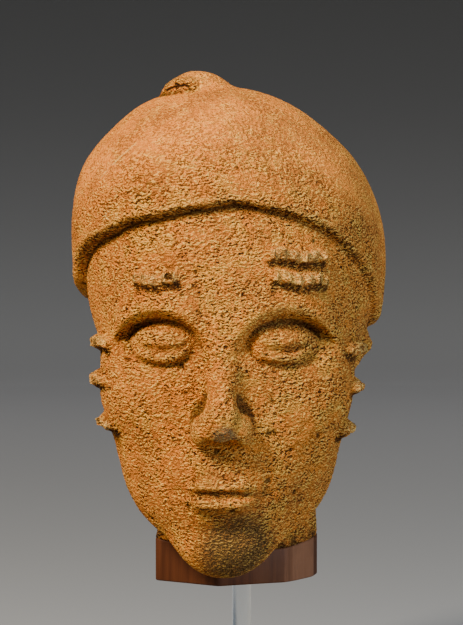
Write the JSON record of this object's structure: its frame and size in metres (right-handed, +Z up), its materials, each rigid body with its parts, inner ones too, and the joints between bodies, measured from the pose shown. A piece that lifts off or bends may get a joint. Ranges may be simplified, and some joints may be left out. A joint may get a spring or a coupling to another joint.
{
  "type": "memorial head sculpture",
  "caption": "Fired-clay memorial head with a smooth rolled-rim cap and raised beaded scar bars, on a wooden neck block, a clear rod and a wooden foot.",
  "frame": {"origin": "on the rod's axis, at the foot's underside", "axes": "+Z up along the rod, -Y the way the face looks, +X to the viewer's right"},
  "size_m": [0.1954, 0.2366, 0.4173],
  "materials": {
    "terracotta": "gritty fired clay, weathered, unglazed",
    "dark_wood": "dark red-brown, waxed",
    "clear_acrylic": "clear, polished"
  },
  "bodies": {
    "root": {"head": "terracotta", "neck_block": "dark_wood", "rod": "clear_acrylic", "foot": "dark_wood"}
  },
  "joints": []
}
